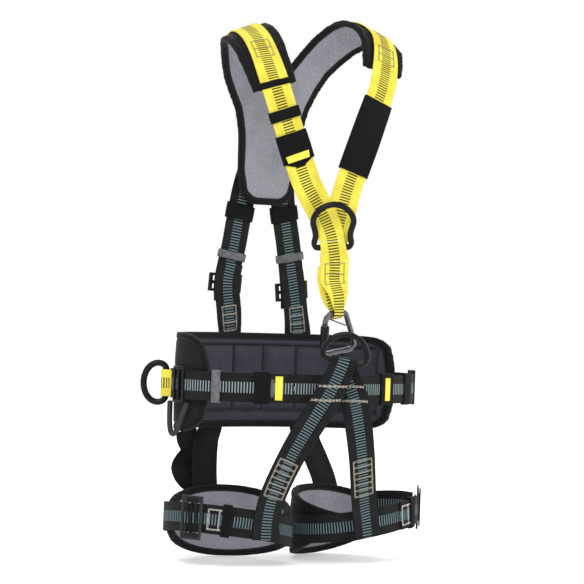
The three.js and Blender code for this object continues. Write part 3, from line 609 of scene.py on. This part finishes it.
def wrap(node, strap, material, body, layers=1, wall=1.3 * MM, bulge=0.3 * MM):
    """A keeper or sleeve: a closed tape round the strap, rebuilt soft from its CAD tube."""
    points, _ = merged(node)
    lo, hi = strap_range(strap, points)
    inner_w = np.abs((points - closest(strap, points)) @ strap.frame((lo + hi) / 2)[0]).max()
    offset = 0.0 if layers == 1 else 1.5 * MM * (layers - 1)
    half_t = (THICK + (layers - 1) * 3.0 * MM + 2.4 * MM) / 2 + 1.4 * MM
    rows = max(4, int((hi - lo) / (2.2 * MM)))
    section = []
    for q in range(40):
        a = 2 * math.pi * q / 40
        c, s = math.cos(a), math.sin(a)
        power = 0.16
        section.append((math.copysign(abs(c) ** power, c), math.copysign(abs(s) ** 0.45, s)))
    verts, faces, uv = [], [], []
    k = len(section)
    for layer, (shrink_w, shrink_t) in enumerate(((0, 0), (wall, wall))):
        for i in range(rows + 1):
            t = i / rows
            s = lo + (hi - lo) * t
            w_dir, n, _ = strap.frame(s)
            base = strap.at(s, 0, offset)
            swell = bulge * math.sin(math.pi * t) if layer == 0 else 0
            for x, y in section:
                wide, tall = inner_w - shrink_w + swell, half_t - shrink_t + swell
                verts.append(base + w_dir * x * wide + n * y * tall)
                uv.append((x * inner_w * 1000, s * 1000))
    ring = (rows + 1) * k
    for i in range(rows):
        for j in range(k):
            a, b = i * k + j, i * k + (j + 1) % k
            faces.append((a, a + k, b + k, b))
            faces.append((ring + a, ring + b, ring + b + k, ring + a + k))
    for j in range(k):
        a, b = j, (j + 1) % k
        faces.append((a, b, ring + b, ring + a))
        a, b = rows * k + j, rows * k + (j + 1) % k
        faces.append((b, a, ring + a, ring + b))
    o = publish(f"{node}_tape", verts, faces, material, body, [node], uv)
    fix_normals(o)
    return o, lo, hi, half_t + offset


def strap_range(strap, points):
    """Lowest and highest length along a strap that a node's points cover."""
    s = []
    for p in points:
        i = int(np.argmin(np.linalg.norm(strap.centre - p, axis=1)))
        s.append(strap.s[i] + (p - strap.centre[i]) @ strap.run[i])
    return min(s), max(s)


def closest(strap, points):
    return np.array([strap.at(strap.nearest(p)) for p in points])


def copy_of(node, name, material):
    """An editable copy of a CAD node with its vertices joined."""
    points, triangles = merged(node)
    o = publish(name, points, triangles, material, BODY_OF[node], [node], smooth=False)
    return o


def apply_modifiers(o):
    graph = bpy.context.evaluated_depsgraph_get()
    mesh = bpy.data.meshes.new_from_object(o.evaluated_get(graph))
    o.modifiers.clear()
    o.data = mesh
    return o


def rounded(node, material, width=0.6 * MM):
    """Hard hardware: the CAD shape with broken edges."""
    o = copy_of(node, f"{node}_look", material)
    bm = bmesh.new()
    bm.from_mesh(o.data)
    bmesh.ops.dissolve_limit(bm, angle_limit=math.radians(4), verts=bm.verts, edges=bm.edges)
    bm.to_mesh(o.data)
    bm.free()
    bevel = o.modifiers.new("edges", "BEVEL")
    bevel.width = width
    bevel.segments = 3
    bevel.limit_method = "ANGLE"
    bevel.angle_limit = math.radians(38)
    apply_modifiers(o)
    o.data.shade_smooth()
    mark_sharp(o, 50)
    return o


def mark_sharp(o, degrees):
    bm = bmesh.new()
    bm.from_mesh(o.data)
    for e in bm.edges:
        e.smooth = not (len(e.link_faces) == 2 and e.calc_face_angle(0) > math.radians(degrees))
    bm.to_mesh(o.data)
    bm.free()


def flowing(node, material, levels=2, regain=0.5 * MM):
    """Rings and bars: quads from the CAD torus, subdivided round and grown back to thickness."""
    o = copy_of(node, f"{node}_look", material)
    bm = bmesh.new()
    bm.from_mesh(o.data)
    bmesh.ops.join_triangles(
        bm, faces=bm.faces, angle_face_threshold=math.radians(60), angle_shape_threshold=math.radians(60)
    )
    bm.to_mesh(o.data)
    bm.free()
    sub = o.modifiers.new("round", "SUBSURF")
    sub.levels = sub.render_levels = levels
    apply_modifiers(o)
    for v, n in zip(o.data.vertices, [n.vector.copy() for n in o.data.vertex_normals]):
        v.co += n * regain
    o.data.shade_smooth()
    return o


# ---------- pads ----------
def fill_foot(o, height):
    """Close the gap between a pad's two lower ends with the hull of everything below a height."""
    bm = bmesh.new()
    for v in o.data.vertices:
        if v.co.z < height:
            bm.verts.new(v.co)
    bmesh.ops.convex_hull(bm, input=bm.verts)
    bmesh.ops.delete(bm, geom=[v for v in bm.verts if not v.link_faces], context="VERTS")
    mesh = bpy.data.meshes.new("foot_hull")
    bm.to_mesh(mesh)
    bm.free()
    hull = bpy.data.objects.new("foot_hull", mesh)
    bpy.context.scene.collection.objects.link(hull)
    union = o.modifiers.new("foot", "BOOLEAN")
    union.operation = "UNION"
    union.solver = "EXACT"
    union.object = hull
    apply_modifiers(o)
    bpy.data.objects.remove(hull)


def sharp_points(o, thick, degrees=55):
    """Points every 2 mm along a pad's rim edges. A rim edge has its twin one thickness away."""
    points = [v.co.copy() for v in o.data.vertices]
    triangles = [tuple(p.vertices) for p in o.data.polygons]
    bm = bmesh.new()
    bm.from_mesh(o.data)
    bmesh.ops.recalc_face_normals(bm, faces=bm.faces)
    found = []
    for e in bm.edges:
        if len(e.link_faces) == 2 and e.calc_face_angle(0) > math.radians(degrees) and e.is_convex:
            a, b = e.verts[0].co, e.verts[1].co
            steps = max(1, int((b - a).length / (2 * MM)))
            normals = [f.normal.copy() for f in e.link_faces]
            found += [(a.lerp(b, k / steps), normals) for k in range(steps + 1)]
    bm.free()
    solid = BVHTree.FromPolygons(points, triangles)

    def outside(p):
        spot, normal, _, _ = solid.find_nearest(p)
        return (p - spot).dot(normal) > 0

    reach = 0.4 * thick

    def on_rim(p, a, b):
        return outside(p + a * reach - b * thick / 2) and outside(p + b * reach - a * thick / 2)

    return [p for p, (a, b) in found if on_rim(p, a, b)]


def tree_of(points):
    kd = KDTree(len(points))
    for i, p in enumerate(points):
        kd.insert(p, i)
    kd.balance()
    return kd


def smoothstep(x, low, high):
    t = np.clip((x - low) / (high - low), 0, 1)
    return t * t * (3 - 2 * t)


def pad(node, material, centre_of, crown, thick, seam_of=None, puff=0.0, foot=None):
    """A padded panel: remeshed, rounded at the rim, crowned, with sewn channels and a bound edge."""
    voxel, groove = 3.0 * MM, 1.6 * MM
    o = copy_of(node, f"{node}_cover", material)
    if foot is not None:
        fill_foot(o, foot)
    rim = tree_of(sharp_points(o, thick))
    remesh = o.modifiers.new("remesh", "REMESH")
    remesh.mode = "VOXEL"
    remesh.voxel_size = voxel
    soften = o.modifiers.new("soften", "SMOOTH")
    soften.factor = 0.5
    soften.iterations = 4
    apply_modifiers(o)
    mesh = o.data
    count = len(mesh.vertices)
    co = np.zeros(count * 3)
    no = np.zeros(count * 3)
    mesh.vertices.foreach_get("co", co)
    mesh.vertex_normals.foreach_get("vector", no)
    co, no = co.reshape(-1, 3), no.reshape(-1, 3)
    distance = np.array([rim.find(p)[2] for p in co]) * 1000
    inward = np.array([centre_of(p) for p in co]) - co
    inward /= np.linalg.norm(inward, axis=1)[:, None]
    inside = smoothstep((no * inward).sum(1), -0.2, 0.2)
    seam = np.array([seam_of(p) for p in co]) if seam_of else np.full(count, 99.0)
    body = smoothstep(distance, 9.5, 17)
    lift = crown * smoothstep(distance, 9, 34) - groove * np.exp(-(((distance - 11.5) / 1.8) ** 2))
    lift -= 2.6 * MM * np.exp(-((seam / 2.4) ** 2)) * body * inside
    lift += puff * np.sqrt(smoothstep(seam, 0, 22)) * body * inside
    lift += np.array([noise.noise(Vector(p) * 45) for p in co]) * 0.6 * MM * body
    co = co + no * lift[:, None]
    mesh.vertices.foreach_set("co", co.ravel())
    # Painted shade along the sewn channels, carried to the material in the seam attribute.
    seam_shade = np.exp(-((seam / 1.9) ** 2)) * body * inside
    for name, values in (("rim", distance), ("inside", inside), ("seam", seam_shade)):
        attribute = mesh.attributes.new(name, "FLOAT", "POINT")
        attribute.data.foreach_set("value", values.astype(np.float32))
    mesh.shade_smooth()
    mesh.update()
    return o


def contours(o, attribute, level):
    """Lines over a mesh where an attribute crosses a level, as lists of (point, normal)."""
    mesh = o.data
    values = np.zeros(len(mesh.vertices), np.float32)
    mesh.attributes[attribute].data.foreach_get("value", values)
    normals = [np.array(v.vector) for v in mesh.vertex_normals]
    mesh.calc_loop_triangles()
    links, spots = {}, {}
    for tri in mesh.loop_triangles:
        cut = []
        for i in range(3):
            a, b = tri.vertices[i], tri.vertices[i - 1]
            if (values[a] > level) != (values[b] > level):
                key = (min(a, b), max(a, b))
                if key not in spots:
                    t = (level - values[key[0]]) / (values[key[1]] - values[key[0]])
                    p = np.array(mesh.vertices[key[0]].co.lerp(mesh.vertices[key[1]].co, t))
                    spots[key] = (p, normals[key[0]] * (1 - t) + normals[key[1]] * t)
                cut.append(key)
        if len(cut) == 2:
            links.setdefault(cut[0], []).append(cut[1])
            links.setdefault(cut[1], []).append(cut[0])
    lines, used = [], set()
    for start in sorted(links):
        if start in used:
            continue
        chain, here = [start], start
        used.add(start)
        while True:
            ahead = [k for k in links[here] if k not in used]
            if not ahead:
                break
            here = ahead[0]
            used.add(here)
            chain.append(here)
        if len(chain) > 12:
            if start in links[here]:
                chain.append(start)
            lines.append([spots[k] for k in chain])
    return lines


def relaxed(line, rounds=6):
    points = np.array([p for p, _ in line])
    for _ in range(rounds):
        points[1:-1] = (points[:-2] + 2 * points[1:-1] + points[2:]) / 4
    return [(p, n) for p, (_, n) in zip(points, line)]


# ---------- straps ----------
def webbing(node, material, seed, **extra):
    strap = Strap(node, **extra)
    ribbon(strap, material, seed=seed)
    return strap


def back_first(p):
    return p[1]


def backwards(p):
    return np.array((0, 1.0, 0))


def forwards(p):
    return np.array((0, -1.0, 0))


straps = {}
for i, node in enumerate(("shoulder_webbing_right", "shoulder_webbing_left")):
    straps[node] = webbing(node, YELLOW, 3.1 + i, outward=backwards, start_key=back_first)
for i, side in enumerate(SIDES):
    straps[f"back_upper_{side}"] = webbing(f"back_webbing_upper_{side}", BLACK, 5.3 + i)
    straps[f"back_lower_{side}"] = webbing(f"back_webbing_lower_{side}", BLACK, 7.7 + i)
    straps[f"rear_{side}"] = webbing(f"rear_webbing_{side}", PLAIN, 9.2 + i)
    straps[f"ring_loop_{side}"] = webbing(f"side_ring_loop_{side}", YELLOW, 10.4 + i, start_key=back_first)

    def thigh_out(p, node=f"leg_pad_{side}"):
        lo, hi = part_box(node)
        return np.array((p[0] - (lo.x + hi.x) / 2, p[1] - (lo.y + hi.y) / 2, 0))

    straps[f"leg_{side}"] = webbing(
        f"leg_webbing_{side}", BLACK, 12.5 + i, outward=thigh_out, start_key=lambda p: -p[1]
    )
    straps[f"leg_tail_{side}"] = webbing(
        f"leg_tail_{side}", BLACK, 14.5 + i, outward=thigh_out, start_key=lambda p: abs(p[0])
    )
straps["belt_back"] = webbing("belt_webbing_back", BELT, 17.0, start_key=lambda p: p[0])
straps["belt_front"] = webbing("belt_webbing_front", BELT, 18.0, start_key=lambda p: -p[0])
straps["belt_tail"] = webbing("belt_tail", BELT, 19.0, start_key=lambda p: -p[0])
straps["risers"] = webbing(
    "riser_webbing", BLACK, 21.0, outward=forwards, start_key=lambda p: -p[0]
)
straps["rear_tail"] = webbing("rear_tail_right", PLAIN, 23.0)

# ---------- keepers, sleeves and labels ----------
right, left = straps["shoulder_webbing_right"], straps["shoulder_webbing_left"]
wrap("chest_keeper_right", right, ELASTIC, BODY_OF["chest_keeper_right"])
label = wrap("chest_label_right", right, SLEEVE_CLOTH, ROOT)
wrap("shoulder_sleeve_left", left, SLEEVE_CLOTH, ROOT, bulge=0.6 * MM)
for side in SIDES:
    upper = straps[f"back_upper_{side}"]
    wrap(f"back_keeper_{side}", upper, ELASTIC, BODY_OF[f"back_keeper_{side}"])
    wrap(f"back_elastic_{side}", upper, GREY_ELASTIC, BODY_OF[f"back_elastic_{side}"])
    wrap(f"leg_elastic_{side}", straps[f"leg_{side}"], ELASTIC, BODY_OF[f"leg_elastic_{side}"], layers=2)
front = straps["belt_front"]
wrap("belt_elastic", front, GREY_ELASTIC, BODY_OF["belt_elastic"], layers=2)
wrap("belt_keeper", front, ELASTIC, BODY_OF["belt_keeper"], layers=2)
hip_label = wrap("belt_label_left", front, SLEEVE_CLOTH, ROOT)
wrap("belt_keeper_left", front, ELASTIC, BODY_OF["belt_keeper_left"])

def past_top(strap, z):
    """Length at which a shoulder strap, past its highest point, comes down to a height above the waist."""
    top = strap.s[np.argmax(strap.centre[:, 2])] / strap.length
    return strap.at_height(z, top, top + 0.3)


upper_marks = []
for strap, z in ((right, 0.527), (left, 0.532)):
    s = past_top(strap, z)
    upper_marks += ladder_stitch(strap, s - 17 * MM, s + 17 * MM, 15 * MM, 3)
stitch_mesh("shoulder_stitches", upper_marks, THREAD_GREY, ROOT, gap=0.5 * MM, radius=0.45 * MM)
s = past_top(right, 0.471)
keeper_half = 5 * MM
lift = TOP + 0.7 * MM
patch(
    "pad_end_keeper_right", right, s - keeper_half, s + keeper_half, 27 * MM, lift, 1.5 * MM,
    SLEEVE_CLOTH,
)
marks = []
s = right.at_height(0.196, 0.5, 0.85)
marks += ladder_stitch(right, s, s + 34 * MM, 15.5 * MM, 3)
stitch_mesh("chest_box_stitches", marks, THREAD_GREY, ROOT, gap=0.5 * MM, radius=0.4 * MM)
s = right.at_height(0.231, 0.45, 0.8)
line = on_strap(right, [(s, -19 * MM), (s, 19 * MM)])
stitch_mesh("chest_line_stitches", [line], THREAD_WHITE, ROOT, gap=0.4 * MM)

marks = []
for side in SIDES:
    lower = straps[f"back_lower_{side}"]
    s = lower.at_height(0.104)
    rear = straps[f"rear_{side}"]
    low = rear.at_height(-0.196)
    for face in (1, -1):
        marks += ladder_stitch(lower, s - 20 * MM, s + 20 * MM, 13 * MM, 4, face)
        marks += ladder_stitch(rear, low - 12 * MM, low + 12 * MM, 16 * MM, 2, face)
stitch_mesh("back_stitches", marks, THREAD_TAN, ROOT, gap=0.4 * MM)

marks = []
risers = straps["risers"]
for low, high, front_face in ((0.0, 0.45, 1), (0.55, 1.0, -1)):
    s = risers.at_height(-0.140, low, high)
    marks += ladder_stitch(risers, s - 30 * MM, s + 30 * MM, 16.5 * MM, 7, front_face)
    for z in (0.006, -0.018):
        for off in (-1 * MM, 1 * MM):
            marks += bar_tack(risers, risers.at_height(z, low, high) + off, 20 * MM, side=front_face)
stitch_mesh("riser_stitches", marks, THREAD_TAN, ROOT, gap=0.4 * MM)

marks = []
for side in SIDES:
    tail = straps[f"leg_tail_{side}"]
    end = tail.length - 3 * MM
    marks += ladder_stitch(tail, end - 34 * MM, end, 16 * MM, 3)
stitch_mesh("leg_stitches", marks, THREAD_WHITE, ROOT, gap=0.4 * MM)

tip = straps["belt_tail"]
out = TOP + 0.35 * MM
LABEL_THICK = 0.6 * MM
end = tip.length
patch("belt_tail_label", tip, end - 31 * MM, end - 19 * MM, 18.5 * MM, out, LABEL_THICK, LABEL_YELLOW)
patch("belt_tail_tab", tip, end - 38 * MM, end - 33 * MM, 14 * MM, out, LABEL_THICK, GREY_ELASTIC)
s = label[2]
out = label[3] + 0.3 * MM
patch(
    "chest_label_block", right, s - 13 * MM, s - 2 * MM, 19 * MM, out, LABEL_THICK, LABEL_YELLOW, taper=0.92
)
patch("chest_label_point", right, s, s + 9 * MM, 22 * MM, TOP + 0.9 * MM, 1.0 * MM, SLEEVE_CLOTH, taper=0.2)
out = hip_label[3] + 0.3 * MM
start, end = hip_label[1] + 9 * MM, hip_label[2] - 9 * MM
patch("hip_label_block", front, start, end, 18 * MM, out, LABEL_THICK, LABEL_YELLOW)

# ---------- hardware ----------
REGAIN = {  # mm of bar thickness that subdivision takes off each ring
    "sternal_ring": 1.1,
    "dorsal_ring": 0.6,
    "ventral_ring": 0.7,
    "side_ring_right": 0.8,
    "side_ring_left": 0.8,
}


def threaded_webbing(side):
    """The webbing that shows in the slots of a leg buckle, round its middle bar."""
    node = f"leg_buckle_frame_{side}"
    points, _ = merged(node)
    middle = points.mean(0)
    up = np.array((0, 0, 1))
    flat = (points - middle)[:, :2]
    _, vectors = np.linalg.eigh(flat.T @ flat)
    run = np.array((*vectors[:, 1], 0))
    out = np.array((*vectors[:, 0], 0))
    lo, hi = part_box(f"leg_pad_{side}")
    if out @ (middle - np.array(((lo.x + hi.x) / 2, (lo.y + hi.y) / 2, middle[2]))) < 0:
        out = -out
    rows, cols = 14, 8
    reach, half, rise = 14 * MM, 22 * MM, 1.1 * MM
    lift, half_thick = 0.9 * MM, 0.5 * MM
    verts, faces, uv = [], [], []
    for face in (1, -1):
        for i in range(rows + 1):
            t = 2 * i / rows - 1
            bow = rise * math.cos(math.pi * t / 2) + lift
            for j in range(cols + 1):
                x = 2 * j / cols - 1
                p = middle + run * t * reach + up * x * half + out * (bow + face * half_thick)
                verts.append(p)
                uv.append((x * half * 1000, t * reach * 1000))
    layer = (rows + 1) * (cols + 1)
    for i in range(rows):
        for j in range(cols):
            a = i * (cols + 1) + j
            b = a + cols + 1
            faces.append((a, a + 1, b + 1, b))
            faces.append((layer + a, layer + b, layer + b + 1, layer + a + 1))
    rim = [i * (cols + 1) for i in range(rows + 1)]
    rim += [rows * (cols + 1) + j for j in range(1, cols + 1)]
    rim += [i * (cols + 1) + cols for i in range(rows - 1, -1, -1)]
    rim += [j for j in range(cols - 1, 0, -1)]
    for a, b in zip(rim, rim[1:] + rim[:1]):
        faces.append((a, b, layer + b, layer + a))
    o = publish(f"leg_buckle_webbing_{side}", verts, faces, BLACK, BODY_OF[node], uv=uv)
    fix_normals(o)


for node, regain in REGAIN.items():
    flowing(node, BLACK_STEEL, 2, regain * MM)
flowing("rear_ring_right", STEEL, 2, 0.1 * MM)
rounded("carabiner_body", STEEL, 0.9 * MM)
rounded("carabiner_gate", STEEL, 0.5 * MM)
rounded("gate_rivet", BRUSHED, 0.3 * MM)
rounded("captive_pin", STEEL, 0.2 * MM)
rounded("screw_sleeve", BLACK_STEEL, 0.4 * MM)
NODES["gate_spring"].data.materials.clear()
NODES["gate_spring"].data.materials.append(STEEL)
rounded("dorsal_plate", PLASTIC, 0.8 * MM)
for side in SIDES:
    rounded(f"back_adjuster_{side}", BLACK_STEEL)
    rounded(f"belt_adjuster_{side}", BLACK_STEEL)
    rounded(f"leg_buckle_frame_{side}", DARK_STEEL)
    rounded(f"leg_buckle_plate_{side}", BLACK_STEEL, 0.9 * MM)
    flowing(f"gear_loop_{side}", RUBBER, 1)
    threaded_webbing(side)


# ---------- pads ----------
def yoke_centre(p):
    return np.array(WAIST + Vector((0, 0.01, 0.4)))


def waist_centre(p):
    return np.array((p[0] * 0.3, WAIST.y, p[2]))


CUSHION_REACH = 215  # mm round the waist, from the back centre to the last seam
CUSHION_TOP, CUSHION_BOTTOM = 60, -46
CUSHION_PITCH = 80


def lumbar_seams(p):
    """Distance in mm to the nearest sewn line of the lumbar cushions."""
    radius = 155
    here = p - np.array(WAIST)
    along = math.atan2(here[0], here[1]) * radius
    z = here[2] * 1000
    rows = min(abs(z - CUSHION_TOP), abs(z - CUSHION_BOTTOM))
    if abs(along) > CUSHION_REACH:
        return 99.0
    if not CUSHION_BOTTOM < z < CUSHION_TOP:
        return rows
    column = abs((along - 3 + CUSHION_PITCH / 2) % CUSHION_PITCH - CUSHION_PITCH / 2) * 127 / radius
    return min(column, rows, CUSHION_REACH - abs(along))


YOKE_FOOT = 0.318  # height above the waist up to which the yoke's two arms are one tongue
covers = {
    "yoke_pad": pad("yoke_pad", YOKE_LOOK, yoke_centre, 1.2 * MM, 10 * MM, foot=WAIST.z + YOKE_FOOT),
    "lumbar_pad": pad("lumbar_pad", LUMBAR_LOOK, waist_centre, 0.6 * MM, 13 * MM, lumbar_seams, 7.0 * MM),
}
for side in SIDES:
    lo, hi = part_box(f"leg_pad_{side}")
    middle = np.array(((lo.x + hi.x) / 2, (lo.y + hi.y) / 2, 0))
    covers[side] = pad(f"leg_pad_{side}", YOKE_LOOK, lambda p, m=middle: m + (0, 0, p[2]), 1.2 * MM, 11 * MM)
for name, cover in covers.items():
    lines = [relaxed(line) for line in contours(cover, "rim", 9.0)]
    stitch_mesh(f"{cover.name}_binding_stitches", lines, THREAD_BLACK, ROOT, 2.6 * MM, 1.2 * MM, 0.35 * MM)

# ---------- floor, light, camera ----------
low_z = CAD_BOX[0].z
bpy.ops.mesh.primitive_plane_add(size=30, location=(0, 0, low_z - 0.001))
floor = bpy.context.object
floor.name = "floor"
floor_look = Look("pale_floor", 0.8)
tones = floor_look.mix(floor_look.noise(2.0), (0.95, 0.95, 0.95, 1), (0.97, 0.97, 0.97, 1))
floor.data.materials.append(floor_look.done(tones))
floor_look.shader.inputs["Emission Color"].default_value = (1, 1, 1, 1)
floor_look.shader.inputs["Emission Strength"].default_value = 0.14

world = bpy.data.worlds.new("studio")
bpy.context.scene.world = world
world.use_nodes = True
world.node_tree.nodes["Background"].inputs[0].default_value = (1, 1, 1, 1)
world.node_tree.nodes["Background"].inputs[1].default_value = 1.0


def area(name, place, size, power):
    """A soft lamp at a place measured from the waist, aimed at the chest."""
    data = bpy.data.lights.new(name, "AREA")
    data.size = size
    data.energy = power
    o = bpy.data.objects.new(name, data)
    bpy.context.scene.collection.objects.link(o)
    o.location = WAIST + Vector(place)
    o.rotation_euler = (Vector((0, 0, 0.1)) - Vector(place)).to_track_quat("-Z", "Y").to_euler()


area("key", (-2.2, -2.4, 2.6), 1.6, 70)
area("fill", (2.6, -1.6, 1.4), 2.2, 35)
area("back", (0.6, 2.8, 2.2), 2.0, 40)

VIEW_ANGLE = math.radians(30)
ROLL = math.radians(2)
AIM = WAIST + Vector((0, 0, 0.158))
DISTANCE = 4.0
across = Vector((math.cos(VIEW_ANGLE), -math.sin(VIEW_ANGLE), 0))
depth = Vector((math.sin(VIEW_ANGLE), math.cos(VIEW_ANGLE), 0))
up = Vector((0, 0, 1))
right_axis = across * math.cos(ROLL) + up * math.sin(ROLL)
up_axis = up * math.cos(ROLL) - across * math.sin(ROLL)
camera_data = bpy.data.cameras.new("camera")
camera = bpy.data.objects.new("camera", camera_data)
bpy.context.scene.collection.objects.link(camera)
turn = Matrix((right_axis, up_axis, -depth)).transposed().to_4x4()
camera.matrix_world = Matrix.Translation(AIM - depth * DISTANCE) @ turn
camera_data.sensor_width = 36
camera_data.lens = 154.1
camera_data.shift_x = -5 / 584
camera_data.shift_y = -5.5 / 584
camera_data.clip_start = 0.1
bpy.context.scene.camera = camera
